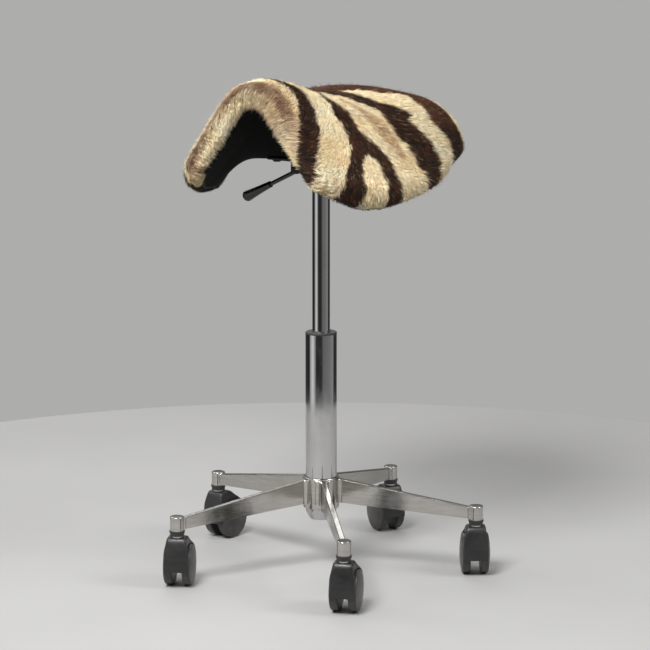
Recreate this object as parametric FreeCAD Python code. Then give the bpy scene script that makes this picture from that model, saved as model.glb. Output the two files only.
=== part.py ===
"""Saddle stool on a gas column and a five-legged star with twin-wheel casters.

Millimetres. The origin is on the floor under the column, +Z is up, the sitter faces -Y
and the sitter's left hand is at +X.
"""
import FreeCAD, Part
import math
import os
from FreeCAD import Vector

os.makedirs("parts", exist_ok=True)

# The whole seat is placed from the pad's flat underside
flat_height = 663.6
plate_sink = 0.4
plate_top = flat_height + plate_sink

# Gas column
column_top = 385.0
column_foot = 84.0
column_radius = 25.0
column_wall = 1.5
column_foot_radius = 18.5
column_foot_bend = 20.0
column_floor = 2.5
lift_radius = 14.0
lift_wall = 2.0
lift_stroke = 200.0
lift_foot = 318.0
lift_cone_length = 30.0
lift_cone_drop = 0.9
lift_below_plate = 16.0
lift_top = plate_top - lift_below_plate
valve_block = 14.0
seal_length = 16.0
guide_length = 70.0
guide_lip = 3.0
rod_radius = 5.0
rod_neck_radius = 4.0
rod_head = 352.0
piston_length = 12.0
race_radius = 14.0
race_thickness = 1.5
ball_radius = 1.5
ball_circle = 9.0
ball_count = 12
buffer_radius = 13.0
buffer_length = 16.0
clip_radius = 7.5
clip_thickness = 1.1
running_gap = 0.05
hub_gap = 0.05

# Star base
star_reach = 250.0
star_turn = -42.17
leg_count = 5
hub_radius = 28.5
hub_bottom = 102.0
hub_top = 153.0
hub_edge_round = 1.5
leg_thickness = 9.0
leg_edge_round = 1.5
leg_root_top = 151.0
leg_root_bottom = 111.4
leg_tip_top = 111.2
leg_tip_bottom = 93.1
leg_root_flare = 9.0
leg_tip_flare = 3.0
socket_radius = 11.1
socket_bottom = 92.5
socket_top = 115.0
socket_roof = 4.5
socket_edge_round = 1.6

# Casters
stem_radius = 5.5
stem_foot = 52.0
stem_shoulder_radius = 9.0
stem_shoulder = 2.2
sleeve_wall = 1.6
collar_radius = 12.15
collar_flange = 3.2
collar_step = 1.0
collar_height = 8.0
wheel_radius = 32.5
wheel_gap = 16.0
wheel_tread = 13.3
wheel_dish = 3.1
wheel_corner = 2.5
trail = 19.0
hood_width = 40.0
hood_wall = 2.3
hood_wheel_gap = 1.2
hood_top = 82.0
hood_boss_front = 13.0
hood_boss_round = 4.0
hood_web = 14.0
hood_web_bottom = 26.5
hood_web_foot = 8.0
hood_front_angle = 187.0
hood_slope_angle = 62.0
hood_back_angle = 12.0
hood_edge_round = 3.0
axle_radius = 4.0
axle_half_length = 19.0
# The casters trail away from a viewer who stands this far round from the front, each a little turned
viewer_side = 40.0
caster_turns = (-12.0, 0.0, 24.0, -36.0, -7.0)

# Seat: mechanism
plate_size_x = 150.0
plate_size_y = 100.0
plate_corner = 12.0
plate_thickness = 3.0
plate_bottom = plate_top - plate_thickness
bolt_spacing_x = 120.0
bolt_spacing_y = 72.0
bolt_radius = 3.0
bolt_clearance = 0.3
bolt_head_radius = 6.5
bolt_head_height = 4.0
bolt_end_past_nut = 1.5
tee_flange_radius = 9.5
tee_flange = 1.5
tee_barrel_radius = 4.6
tee_sink = 1.5
socket_height = 41.0
cone_foot_radius = 20.0
cone_head_radius = 36.0
cone_dome_height = 22.0
bracket_front = 54.0
bracket_back = 37.5
bracket_half_width = 10.0
bracket_wall = 2.5
bracket_drop = 24.0

# Seat: lever
pivot_out = 45.0
pivot_drop = 18.8
pivot_height = plate_bottom - pivot_drop
lever_radius = 3.5
lever_eye_radius = 6.5
lever_slope = 24.7
lever_reach = 100.0
lever_past_button = 3.0
knob_start = 66.0
knob_length = 60.5
knob_neck_radius = 5.2
knob_tip_radius = 9.2
pin_radius = 2.5
pin_head = 1.5
button_radius = 4.0
button_proud = 4.0
lever_rest_gap = 0.1

# Seat: pad
hide_thickness = 2.5
hide_turn_in = 6.0
shell_thickness = 8.0
shell_margin = 3.0
# Cross-sections of the pad from the front to the back, with their heights above its flat underside.
# The outside runs from the crest over a round crown and down the flank to the foot, the underside
# from its own crest to the same foot.
SECTION_KEYS = ("y", "crest", "crown", "shoulder", "foot_x", "foot_z", "thick", "under", "under_x", "under_angle")
SECTIONS = [dict(zip(SECTION_KEYS, row)) for row in (
    (-150.0, 126.6, 72.0, 47.0, 138.5, 0.0, 36.5, 88.4, 27.0, 50.0),
    (-138.0, 127.8, 69.0, 48.6, 151.0, -6.2, 38.2, 87.9, 28.0, 49.7),
    (-125.0, 128.0, 66.5, 49.6, 163.5, -12.2, 39.6, 85.9, 31.0, 48.8),
    (-110.0, 126.2, 67.5, 49.4, 174.0, -17.6, 40.6, 81.4, 36.5, 47.0),
    (-95.0, 123.0, 73.5, 47.4, 180.5, -20.0, 40.8, 73.4, 45.0, 43.5),
    (-70.0, 116.2, 86.0, 42.2, 186.5, -21.5, 40.0, 38.4, 66.0, 30.0),
    (-48.0, 111.2, 105.0, 36.5, 193.0, -19.6, 38.6, 4.4, 92.0, 8.0),
    (-20.0, 107.2, 149.0, 28.5, 206.0, -12.4, 36.0, 0.0, 100.0, 0.4),
    (10.0, 105.4, 211.0, 21.5, 215.0, -2.9, 33.5, 0.0, 100.0, 0.4),
    (50.0, 106.6, 325.0, 14.0, 208.5, 10.4, 31.0, 0.0, 100.0, 0.4),
    (100.0, 104.4, 430.0, 9.0, 188.5, 21.0, 30.0, 0.0, 92.0, 0.4),
    (145.0, 96.4, 445.0, 9.0, 161.5, 32.0, 29.0, 0.0, 76.0, 0.4),
    (168.0, 91.2, 405.0, 9.4, 140.3, 37.8, 28.5, 9.4, 56.0, 2.0),
    (176.0, 89.2, 388.0, 9.4, 132.3, 39.5, 28.2, 18.4, 48.0, 2.5),
    (182.0, 87.6, 375.0, 9.6, 126.3, 40.8, 28.0, 31.4, 40.0, 3.0),
)]
for section in SECTIONS:
    for height in ("crest", "foot_z", "under"):
        section[height] += flat_height
# The rounded ends: how far each runs past its last section, and how far it is drawn in there
front_nose = (15.0, 14.0)
back_nose = (10.0, 10.0)
nose_steps = (0.0, 35.0, 65.0, 82.0)
layer_end = 3.0


def save(name, shape):
    """Writes one sub-part and reports its solids."""
    shape.exportStep("parts/" + name + ".step")
    state = "valid" if shape.isValid() else "INVALID"
    print(name, len(shape.Solids), "solids", round(shape.Volume), "mm3", state)


def point(across, height, along=0.0):
    return Vector(across, along, height)


def outline(start, *steps, along=0.0):
    """A closed wire in an upright plane. A step is a point, or a middle point and an end point."""
    edges = []
    here = point(*start, along)
    first = here
    for step in steps:
        if isinstance(step[0], tuple):
            middle, end = (point(*spot, along) for spot in step)
            edges.append(Part.Arc(here, middle, end).toShape())
        else:
            end = point(*step, along)
            edges.append(Part.LineSegment(here, end).toShape())
        here = end
    if here.distanceToPoint(first) > 1e-6:
        edges.append(Part.LineSegment(here, first).toShape())
    return Part.Wire(edges)


def lathe(start, *steps):
    """Turns a closed outline of (radius, height) about the vertical axis."""
    return Part.Face(outline(start, *steps)).revolve(Vector(0, 0, 0), Vector(0, 0, 1), 360)


def cylinder(radius, bottom, top, x=0.0, y=0.0):
    return Part.makeCylinder(radius, top - bottom, Vector(x, y, bottom))


def ring(outer, inner, bottom, top, x=0.0, y=0.0):
    return cylinder(outer, bottom, top, x, y).cut(cylinder(inner, bottom, top, x, y))


def cross_pin(radius, half_length, x, z):
    """A pin along Y."""
    return Part.makeCylinder(radius, 2 * half_length, Vector(x, -half_length, z), Vector(0, 1, 0))


def turned(shape, degrees):
    copy = shape.copy()
    copy.rotate(Vector(0, 0, 0), Vector(0, 0, 1), degrees)
    return copy


def other_side(spot):
    return (spot[0], -spot[1])


def at_angle(centre, radius, degrees):
    angle = math.radians(degrees)
    return (centre[0] + radius * math.cos(angle), centre[1] + radius * math.sin(angle))


# Gas column

def make_column():
    bore = column_radius - column_wall
    floor_top = column_foot + column_floor
    bend_top = column_foot + column_foot_bend
    foot = (column_foot_radius, column_foot)
    inner_foot = (column_foot_radius - 1.0, floor_top)
    bend = arc_on((column_radius, bend_top), (0.0, -1.0), foot)
    inner_bend = arc_on((bore, bend_top), (0.0, -1.0), inner_foot)
    tube = lathe((bore, column_top), (column_radius, column_top), (column_radius, bend_top), (bend, foot),
                 (rod_neck_radius + running_gap, column_foot), (rod_neck_radius + running_gap, floor_top),
                 inner_foot, (inner_bend, (bore, bend_top)))
    save("column_tube", tube)
    guide_bore = lift_radius + running_gap
    lip_top = column_top + guide_lip
    save("guide_bush", lathe((guide_bore, column_top - guide_length), (bore, column_top - guide_length),
                             (bore, column_top), (column_radius, column_top), (column_radius, lip_top - 1.2),
                             (column_radius - 1.2, lip_top), (guide_bore, lip_top)))
    lower_race_top = floor_top + race_thickness
    upper_race_bottom = lower_race_top + 2 * ball_radius + running_gap
    upper_race_top = upper_race_bottom + race_thickness
    save("bearing_lower_race", ring(race_radius, rod_radius + 1.0, floor_top, lower_race_top))
    balls = []
    for index in range(ball_count):
        x, y = at_angle((0.0, 0.0), ball_circle, 360.0 * index / ball_count)
        balls.append(Part.makeSphere(ball_radius, Vector(x, y, lower_race_top + ball_radius)))
    save("bearing_balls", Part.makeCompound(balls))
    save("bearing_upper_race", ring(race_radius, rod_neck_radius, upper_race_bottom, upper_race_top))
    save("rubber_buffer", ring(buffer_radius, rod_radius, upper_race_top, upper_race_top + buffer_length))
    clip_top = column_foot - running_gap
    clip_bottom = clip_top - clip_thickness
    groove = rod_neck_radius - 0.8
    piston_bottom = rod_head - piston_length
    save("retaining_clip", ring(clip_radius, groove, clip_bottom, clip_top))
    save("piston_rod", lathe((0, clip_bottom - 1.5), (rod_neck_radius, clip_bottom - 1.5),
                             (rod_neck_radius, clip_bottom), (groove, clip_bottom), (groove, clip_top),
                             (rod_neck_radius, clip_top), (rod_neck_radius, upper_race_top),
                             (rod_radius, upper_race_top), (rod_radius, piston_bottom),
                             (rod_neck_radius, piston_bottom), (rod_neck_radius, rod_head), (0, rod_head)))
    save("piston", ring(lift_radius - lift_wall - running_gap, rod_neck_radius, piston_bottom, rod_head))


def make_lift():
    bore = lift_radius - lift_wall
    cone_start = lift_top - lift_cone_length
    block_bottom = lift_top - valve_block
    valve_bore = button_radius + running_gap
    save("lift_tube", lathe((bore, lift_foot), (lift_radius, lift_foot), (lift_radius, cone_start),
                            (lift_radius - lift_cone_drop, lift_top), (valve_bore, lift_top),
                            (valve_bore, block_bottom), (bore, block_bottom)))
    save("seal_pack", ring(bore, rod_radius + running_gap, lift_foot, lift_foot + seal_length))
    save("release_button", cylinder(button_radius, block_bottom + button_proud, lift_top + button_proud))


# Star base

def leg_blank():
    """One leg along +X: a tapering blade that flares into the hub and into the socket."""
    half = leg_thickness / 2
    root = hub_radius - 1.5
    inner_x = root - 4.0
    tip = star_reach - socket_radius + 0.5
    arc_share = 1.0 - math.sqrt(0.5)
    root_half = half + leg_root_flare
    tip_half = half + leg_tip_flare
    root_bend = (root + leg_root_flare * arc_share, half + leg_root_flare * arc_share)
    tip_bend = (tip - leg_tip_flare * arc_share, half + leg_tip_flare * arc_share)
    plan = outline((inner_x, root_half), (root, root_half), (root_bend, (root + leg_root_flare, half)),
                   (tip - leg_tip_flare, half), (tip_bend, (tip, tip_half)), (star_reach, tip_half),
                   (star_reach, -tip_half), (tip, -tip_half),
                   (other_side(tip_bend), (tip - leg_tip_flare, -half)), (root + leg_root_flare, -half),
                   (other_side(root_bend), (root, -root_half)), (inner_x, -root_half))
    plan.rotate(Vector(0, 0, 0), Vector(1, 0, 0), -90)
    side = outline((inner_x, leg_root_top), (star_reach, leg_tip_top), (star_reach, leg_tip_bottom),
                   (inner_x, leg_root_bottom), along=-hub_radius)
    blade = Part.Face(plan).extrude(Vector(0, 0, hub_top))
    blade = blade.common(Part.Face(side).extrude(Vector(0, 2 * hub_radius, 0)))
    half_height = (leg_root_top + leg_root_bottom) / 2
    top_edges = [edge for edge in blade.Edges
                 if edge.Length > star_reach / 2 and edge.BoundBox.ZMax > half_height]
    return blade.makeFillet(leg_edge_round, top_edges)


def make_star():
    hub = cylinder(hub_radius, hub_bottom, hub_top)
    hub = hub.makeFillet(hub_edge_round, [edge for edge in hub.Edges if len(edge.Vertexes) == 1])
    socket = cylinder(socket_radius, socket_bottom, socket_top)
    rim = [edge for edge in socket.Edges if abs(edge.BoundBox.ZMin - socket_top) < 0.01]
    socket = socket.makeFillet(socket_edge_round, rim).translated(Vector(star_reach, 0, 0))
    arm = leg_blank().fuse(socket)
    bore = cylinder(stem_radius + running_gap + sleeve_wall, socket_bottom, socket_top - socket_roof, star_reach)
    arm = arm.cut(bore)
    star = hub
    for index in range(leg_count):
        star = star.fuse(turned(arm, star_turn + 360.0 * index / leg_count))
    save("base_star", star.cut(cylinder(column_radius + hub_gap, hub_bottom, hub_top)).removeSplitter())


# Casters

def hood_blank():
    """The hood along +X: a fender over both wheels, a web between them and a boss for the stem."""
    axle = (trail, wheel_radius)
    inside = wheel_radius + hood_wheel_gap
    outside = inside + hood_wall
    boss_x = -hood_boss_front
    boss_angle = math.degrees(math.acos((boss_x - trail) / outside))
    front = at_angle(axle, outside, hood_front_angle)
    front_middle = at_angle(axle, outside, (hood_front_angle + boss_angle) / 2)
    boss_foot = at_angle(axle, outside, boss_angle)
    slope_foot = at_angle(axle, outside, hood_slope_angle)
    back_middle = at_angle(axle, outside, (hood_slope_angle + hood_back_angle) / 2)
    back = at_angle(axle, outside, hood_back_angle)
    profile = outline(front, (front_middle, boss_foot), (boss_x, hood_top - hood_boss_round),
                      ((boss_x + 1.2, hood_top - 1.2), (boss_x + hood_boss_round, hood_top)),
                      (-boss_x - 1.0, hood_top), slope_foot, (back_middle, back),
                      (trail + hood_web_foot, hood_web_bottom), (trail - hood_web_foot, hood_web_bottom),
                      along=-hood_width / 2)
    hood = Part.Face(profile).extrude(Vector(0, hood_width, 0))
    rounded = []
    for edge in hood.Edges:
        box = edge.BoundBox
        on_side = box.YLength < 0.01
        over_top = box.ZMin > slope_foot[1] - 0.01 and box.XLength > 1.0 and box.ZMax > hood_top - 0.01
        if on_side and over_top and edge.Curve.TypeId == "Part::GeomLine":
            rounded.append(edge)
    hood = hood.makeChamfer(hood_edge_round, rounded)
    pocket = cross_pin(inside, hood_width, trail, wheel_radius)
    web = Part.makeBox(4 * inside, hood_web, 2 * hood_top, Vector(-2 * inside, -hood_web / 2, 0))
    hood = hood.cut(pocket.cut(web))
    return hood


def wheel_blank():
    """The wheel on the +Y side of its axle, closed outside and bored from inside."""
    inner_y = wheel_gap / 2
    outer_y = inner_y + wheel_tread
    bore = axle_radius + running_gap
    rim = wheel_radius - wheel_corner
    quarter = wheel_corner * (1.0 - math.sqrt(0.5))
    blind = axle_half_length + 0.5
    sphere = (rim ** 2 + wheel_dish ** 2) / (2 * wheel_dish)
    dish_middle = (rim / 2, outer_y + wheel_dish - sphere + math.sqrt(sphere ** 2 - (rim / 2) ** 2))
    profile = outline((bore, inner_y), (rim, inner_y),
                      ((wheel_radius - quarter, inner_y + quarter), (wheel_radius, inner_y + wheel_corner)),
                      (wheel_radius, outer_y - wheel_corner),
                      ((wheel_radius - quarter, outer_y - quarter), (rim, outer_y)),
                      (dish_middle, (0, outer_y + wheel_dish)),
                      (0, blind), (bore, blind))
    wheel = Part.Face(profile).revolve(Vector(0, 0, 0), Vector(0, 0, 1), 360)
    wheel.rotate(Vector(0, 0, 0), Vector(1, 0, 0), -90)
    return wheel.translated(Vector(trail, 0, wheel_radius))


def make_casters():
    sleeve_bore = stem_radius + running_gap
    collar_bottom = socket_bottom - collar_height
    flange_bottom = socket_bottom - collar_flange
    sleeve_top = socket_top - socket_roof
    sleeve = lathe((sleeve_bore, collar_bottom), (collar_radius - collar_step, collar_bottom),
                   (collar_radius - collar_step, flange_bottom), (collar_radius, flange_bottom),
                   (collar_radius, socket_bottom), (sleeve_bore + sleeve_wall, socket_bottom),
                   (sleeve_bore + sleeve_wall, sleeve_top), (sleeve_bore, sleeve_top))
    shoulder_top = hood_top + stem_shoulder
    stem_top = sleeve_top - 1.0
    stem = lathe((0, stem_foot), (stem_radius, stem_foot), (stem_radius, hood_top), (stem_shoulder_radius, hood_top),
                 (stem_shoulder_radius, shoulder_top), (stem_radius, shoulder_top), (stem_radius, stem_top - 8.0),
                 (stem_radius - 0.8, stem_top - 8.0), (stem_radius - 0.8, stem_top - 5.0),
                 (stem_radius, stem_top - 5.0), (stem_radius, stem_top - 1.5), (stem_radius - 1.5, stem_top),
                 (0, stem_top))
    axle = cross_pin(axle_radius, axle_half_length, trail, wheel_radius)
    hood = hood_blank().cut(cylinder(stem_radius, stem_foot, hood_top)).cut(axle)
    left = wheel_blank()
    right = left.mirror(Vector(0, 0, 0), Vector(0, 1, 0))
    for index in range(leg_count):
        x, y = at_angle((0.0, 0.0), star_reach, star_turn + 360.0 * index / leg_count)
        away = 90.0 + viewer_side + caster_turns[index]
        for piece, shape in (("sleeve", sleeve), ("stem", stem), ("hood", hood), ("axle", axle),
                             ("wheel_left", left), ("wheel_right", right)):
            save("caster_%d_%s" % (index + 1, piece), turned(shape, away).translated(Vector(x, y, 0)))


# Seat

def arc_on(start, direction, end):
    """The middle point of the arc that leaves start along direction and ends at end."""
    chord = Vector(end[0] - start[0], end[1] - start[1], 0)
    way = Vector(direction[0], direction[1], 0)
    swing = math.atan2(way.cross(chord).z, way.dot(chord))
    side = Vector(chord.y, -chord.x, 0) * (0.5 * math.tan(swing / 2))
    return (start[0] + chord.x / 2 + side.x, start[1] + chord.y / 2 + side.y)


def outside_points(section, inset):
    """Points of one side of the pad's outside, and the directions down the flank and inward."""
    slope = math.radians(section["shoulder"])
    crown = section["crown"] - inset
    centre_z = section["crest"] - section["crown"]
    shoulder = (crown * math.sin(slope), centre_z + crown * math.cos(slope))
    way = (math.cos(slope), -math.sin(slope))
    full_crown = section["crown"]
    full_shoulder = (full_crown * math.sin(slope), centre_z + full_crown * math.cos(slope))
    foot = (section["foot_x"], section["foot_z"])
    chord = math.atan2(full_shoulder[1] - foot[1], foot[0] - full_shoulder[0])
    steep = 2 * chord - slope
    down = (math.cos(steep), -math.sin(steep))
    inward = (-math.sin(steep), -math.cos(steep))
    foot_in = (foot[0] + inset * inward[0], foot[1] + inset * inward[1])
    middle = arc_on(shoulder, way, foot_in)
    half = section["thick"] / 2
    centre = (foot[0] + half * inward[0], foot[1] + half * inward[1])
    radius = half - inset
    diagonal = math.sqrt(0.5)
    edge_1 = tuple(centre[i] + radius * diagonal * (down[i] - inward[i]) for i in (0, 1))
    tip = tuple(centre[i] + radius * down[i] for i in (0, 1))
    edge_2 = tuple(centre[i] + radius * diagonal * (down[i] + inward[i]) for i in (0, 1))
    return shoulder, middle, foot_in, edge_1, tip, edge_2, down, inward


def underside_points(section, height):
    """Foot, flank middle, shoulder and crest of one side of a surface above the pad's underside."""
    down, inward = outside_points(section, 0.0)[-2:]
    reach = section["thick"] - height
    foot = (section["foot_x"] + reach * inward[0], section["foot_z"] + reach * inward[1])
    slope = math.radians(section["under_angle"])
    crown = section["under_x"] / math.sin(slope)
    centre_z = section["under"] - crown
    shoulder = ((crown + height) * math.sin(slope), centre_z + (crown + height) * math.cos(slope))
    middle = arc_on(shoulder, (math.cos(slope), -math.sin(slope)), foot)
    return foot, middle, shoulder, (0.0, section["under"] + height)


def mirrored(spot):
    return (-spot[0], spot[1])


def pad_section(section, inset):
    """The closed outline of the pad, drawn in all round by the inset."""
    shoulder, middle, foot, edge_1, tip, edge_2 = outside_points(section, inset)[:6]
    under_foot, under_middle, under_shoulder, under_crest = underside_points(section, inset)
    return outline(mirrored(shoulder), ((0.0, section["crest"] - inset), shoulder), (middle, foot),
                   (edge_1, tip), (edge_2, under_foot), (under_middle, under_shoulder),
                   (under_crest, mirrored(under_shoulder)), (mirrored(under_middle), mirrored(under_foot)),
                   (mirrored(edge_2), mirrored(tip)), (mirrored(edge_1), mirrored(foot)),
                   (mirrored(middle), mirrored(shoulder)), along=section["y"])


def shortened(start, middle, end, cut):
    """Middle and end of an arc that stops short of its end by the given length."""
    arc = Part.Arc(point(*start), point(*middle), point(*end)).toShape()
    last = arc.LastParameter - cut / arc.Curve.Radius
    spots = (arc.valueAt((arc.FirstParameter + last) / 2), arc.valueAt(last))
    return tuple((spot.x, spot.z) for spot in spots)


def band_section(section, low, high, margin):
    """The closed outline of a layer between two heights above the underside, short of the feet."""
    sides = []
    for height in (low, high):
        foot, middle, shoulder, crest = underside_points(section, height)
        middle, foot = shortened(shoulder, middle, foot, margin)
        sides.append((foot, middle, shoulder, crest))
    foot, middle, shoulder, crest = sides[0]
    high_foot, high_middle, high_shoulder, high_crest = sides[1]
    return outline(foot, (middle, shoulder), (crest, mirrored(shoulder)), (mirrored(middle), mirrored(foot)),
                   mirrored(high_foot), (mirrored(high_middle), mirrored(high_shoulder)),
                   (high_crest, high_shoulder), (high_middle, high_foot), along=section["y"])


def drawn_in(section, y, inset):
    """A section moved along and drawn in all round."""
    small = dict(section)
    down, inward = outside_points(section, 0.0)[-2:]
    small["y"] = y
    small["crest"] = section["crest"] - inset
    small["crown"] = section["crown"] - inset
    small["thick"] = section["thick"] - 2 * inset
    small["foot_x"] = section["foot_x"] + inset * (inward[0] - down[0])
    small["foot_z"] = section["foot_z"] + inset * (inward[1] - down[1])
    small["under"] = section["under"] + inset
    small["under_x"] = section["under_x"] + inset * math.sin(math.radians(section["under_angle"]))
    return small


def loft(wires):
    return Part.makeLoft(wires, True, False, False)


def nose(section, way, size, inset):
    """The rounded end that closes the pad past one of its end sections."""
    length, depth = size
    wires = []
    for degrees in nose_steps:
        angle = math.radians(degrees)
        y = section["y"] + way * (length - inset) * math.sin(angle)
        wires.append(pad_section(drawn_in(section, y, depth * (1.0 - math.cos(angle))), inset))
    return loft(wires)


def pad_body(inset):
    """The whole pad, drawn in all round by the inset."""
    body = loft([pad_section(section, inset) for section in SECTIONS])
    return body.fuse([nose(SECTIONS[0], -1, front_nose, inset), nose(SECTIONS[-1], 1, back_nose, inset)])


def underside_layer(low, high, margin):
    """A layer between two heights above the underside that runs a little past the end sections."""
    front, back = SECTIONS[0], SECTIONS[-1]
    sections = [drawn_in(front, front["y"] - layer_end, 0.0)] + SECTIONS
    sections.append(drawn_in(back, back["y"] + layer_end, 0.0))
    return loft([band_section(section, low, high, margin) for section in sections])


def bolt_places():
    return [(x * bolt_spacing_x / 2, y * bolt_spacing_y / 2) for x in (-1, 1) for y in (-1, 1)]


def nut_heights():
    """The tee nuts' seat in the shell, the top of their flanges and the bolts' ends."""
    seat = flat_height + hide_thickness + shell_thickness - tee_sink
    flange_top = seat + tee_flange
    return seat, flange_top, flange_top + bolt_end_past_nut


def rounded_plate(size_x, size_y, corner, bottom, top):
    plate = Part.makeBox(size_x, size_y, top - bottom, Vector(-size_x / 2, -size_y / 2, bottom))
    upright = [edge for edge in plate.Edges if edge.BoundBox.ZLength > (top - bottom) / 2]
    return plate.makeFillet(corner, upright)


def without_slivers(shape):
    """The shape's largest solid, without the thin slivers that a cut between two lofts can leave."""
    return max(shape.Solids, key=lambda solid: solid.Volume)


def make_pad():
    skin = hide_thickness
    whole = pad_body(0.0)
    core = pad_body(skin)
    layer_top = skin + shell_thickness
    window = underside_layer(-layer_top, layer_top, hide_turn_in)
    shell_layer = underside_layer(-layer_top, layer_top, shell_margin)
    cover = whole.cut(core)
    plate = rounded_plate(plate_size_x, plate_size_y, plate_corner, flat_height - layer_top, plate_top)
    liner = cover.common(window).cut(plate)
    shell = core.common(shell_layer).cut(plate)
    foam = core.cut(shell_layer)
    nut_seat, flange_top, bolt_end = nut_heights()
    for x, y in bolt_places():
        liner = liner.cut(cylinder(bolt_radius + bolt_clearance, plate_top - skin, nut_seat, x, y))
        shell = shell.cut(cylinder(tee_barrel_radius, plate_top, nut_seat, x, y))
        shell = shell.cut(cylinder(tee_flange_radius, nut_seat, bolt_end, x, y))
        foam = foam.cut(cylinder(tee_flange_radius, nut_seat, flange_top, x, y))
        foam = foam.cut(cylinder(bolt_radius + bolt_clearance, flange_top, bolt_end, x, y))
    save("hide_cover", without_slivers(cover.cut(window)))
    save("underside_cover", without_slivers(liner))
    save("seat_shell", shell)
    save("foam_pad", foam)


def make_bolts():
    barrel_bottom = flat_height + hide_thickness
    nut_seat, flange_top, bolt_end = nut_heights()
    bolts = []
    nuts = []
    for x, y in bolt_places():
        head = cylinder(bolt_head_radius, plate_bottom - bolt_head_height, plate_bottom, x, y)
        lower_rim = [edge for edge in head.Edges if edge.BoundBox.ZMax < plate_bottom - 0.5]
        head = head.makeFillet(bolt_head_height / 2, lower_rim)
        bolts.append(head.fuse(cylinder(bolt_radius, plate_bottom, bolt_end, x, y)))
        nut = cylinder(tee_flange_radius, nut_seat, flange_top, x, y)
        nut = nut.fuse(cylinder(tee_barrel_radius, barrel_bottom, nut_seat, x, y))
        nuts.append(nut.cut(cylinder(bolt_radius, barrel_bottom, flange_top, x, y)))
    save("seat_bolts", Part.makeCompound(bolts))
    save("tee_nuts", Part.makeCompound(nuts))


# Seat mechanism and lever

def lever_line(x):
    """Height of the lever bar's centre line where it slopes."""
    return pivot_height + (x + pivot_out) * math.tan(math.radians(lever_slope))


def make_mechanism():
    plate = rounded_plate(plate_size_x, plate_size_y, plate_corner, plate_bottom, plate_top)
    for x, y in bolt_places():
        plate = plate.cut(cylinder(bolt_radius + bolt_clearance, plate_bottom, plate_top, x, y))
    save("seat_plate", plate)
    foot = plate_bottom - socket_height
    dome_foot = plate_bottom - cone_dome_height
    cone_top = lift_radius - lift_cone_drop
    mouth = lift_radius - lift_cone_drop * (foot - lift_top + lift_cone_length) / lift_cone_length
    lean = (cone_head_radius - cone_foot_radius) / cone_dome_height
    dome_middle = (cone_foot_radius + 0.72 * (cone_head_radius - cone_foot_radius), dome_foot + 0.5 * cone_dome_height)
    socket = lathe((mouth, foot), (cone_foot_radius - lean, foot), (cone_foot_radius, foot + 1.0),
                   (cone_foot_radius + 1.0, dome_foot), (dome_middle, (cone_head_radius, plate_bottom)),
                   (cone_top, plate_bottom), (cone_top, lift_top))
    slot_half = lever_radius + 1.0
    slot = outline((-bracket_back, lever_line(-bracket_back) - 6.5), (-cone_top - 0.5, lift_top + 0.2),
                   (0.0, lift_top + 0.2), (0.0, plate_bottom), (-bracket_back, plate_bottom), along=-slot_half)
    save("cone_socket", socket.cut(Part.Face(slot).extrude(Vector(0, 2 * slot_half, 0))))
    length = bracket_front - bracket_back
    drop_foot = plate_bottom - bracket_drop
    bracket = Part.makeBox(length, 2 * bracket_half_width, bracket_drop,
                           Vector(-bracket_front, -bracket_half_width, drop_foot))
    inside = bracket_half_width - bracket_wall
    bracket = bracket.cut(Part.makeBox(length, 2 * inside, bracket_drop - bracket_wall,
                                       Vector(-bracket_front, -inside, drop_foot)))
    bracket = bracket.cut(cross_pin(pin_radius, bracket_half_width, -pivot_out, pivot_height))
    corners = [edge for edge in bracket.Edges
               if edge.BoundBox.YLength > bracket_wall / 2 and edge.BoundBox.ZMax < drop_foot + 0.01]
    save("lever_bracket", bracket.makeFillet(bracket_wall, corners))
    pin = cross_pin(pin_radius, bracket_half_width, -pivot_out, pivot_height)
    for side in (-1, 1):
        cap = cross_pin(pin_radius + pin_head, pin_head / 2, -pivot_out, pivot_height)
        pin = pin.fuse(cap.translated(Vector(0, side * (bracket_half_width + pin_head / 2), 0)))
    save("lever_pivot_pin", pin)


def make_lever():
    centre_z = lift_top + button_proud + lever_rest_gap + lever_radius
    bend_x = (centre_z - pivot_height) / math.tan(math.radians(lever_slope)) - pivot_out
    bend = Vector(bend_x, 0, centre_z)
    slope = math.radians(lever_slope)
    outward = Vector(-math.cos(slope), 0, -math.sin(slope))
    pivot = Vector(-pivot_out, 0, pivot_height)
    outer_length = pivot.distanceToPoint(bend) + lever_reach
    bar = Part.makeCylinder(lever_radius, outer_length, bend, outward)
    bar = bar.fuse(Part.makeSphere(lever_radius, bend))
    bar = bar.fuse(Part.makeCylinder(lever_radius, lever_past_button - bend_x, bend, Vector(1, 0, 0)))
    inside = bracket_half_width - bracket_wall - running_gap
    bar = bar.fuse(cross_pin(lever_eye_radius, inside, -pivot_out, pivot_height))
    bar = bar.cut(cross_pin(pin_radius + running_gap, bracket_half_width, -pivot_out, pivot_height))
    save("lever_bar", bar.removeSplitter())
    tip_round = 0.7 * knob_tip_radius
    shoulder = knob_length - tip_round
    corner = (knob_tip_radius - tip_round * (1.0 - math.sqrt(0.5)), knob_length - tip_round * (1.0 - math.sqrt(0.5)))
    knob = lathe((lever_radius, 0.0), (knob_neck_radius, 0.0),
                 ((knob_neck_radius + 0.38 * (knob_tip_radius - knob_neck_radius), 0.5 * shoulder),
                  (knob_tip_radius, shoulder)),
                 (corner, (knob_tip_radius - tip_round, knob_length)), (0.0, knob_length),
                 (0.0, lever_reach - knob_start), (lever_radius, lever_reach - knob_start))
    knob.rotate(Vector(0, 0, 0), Vector(0, 1, 0), -90.0 - lever_slope)
    save("lever_knob", knob.translated(pivot + outward * knob_start))


make_column()
make_lift()
make_star()
make_casters()
make_pad()
make_bolts()
make_mechanism()
make_lever()
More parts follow.
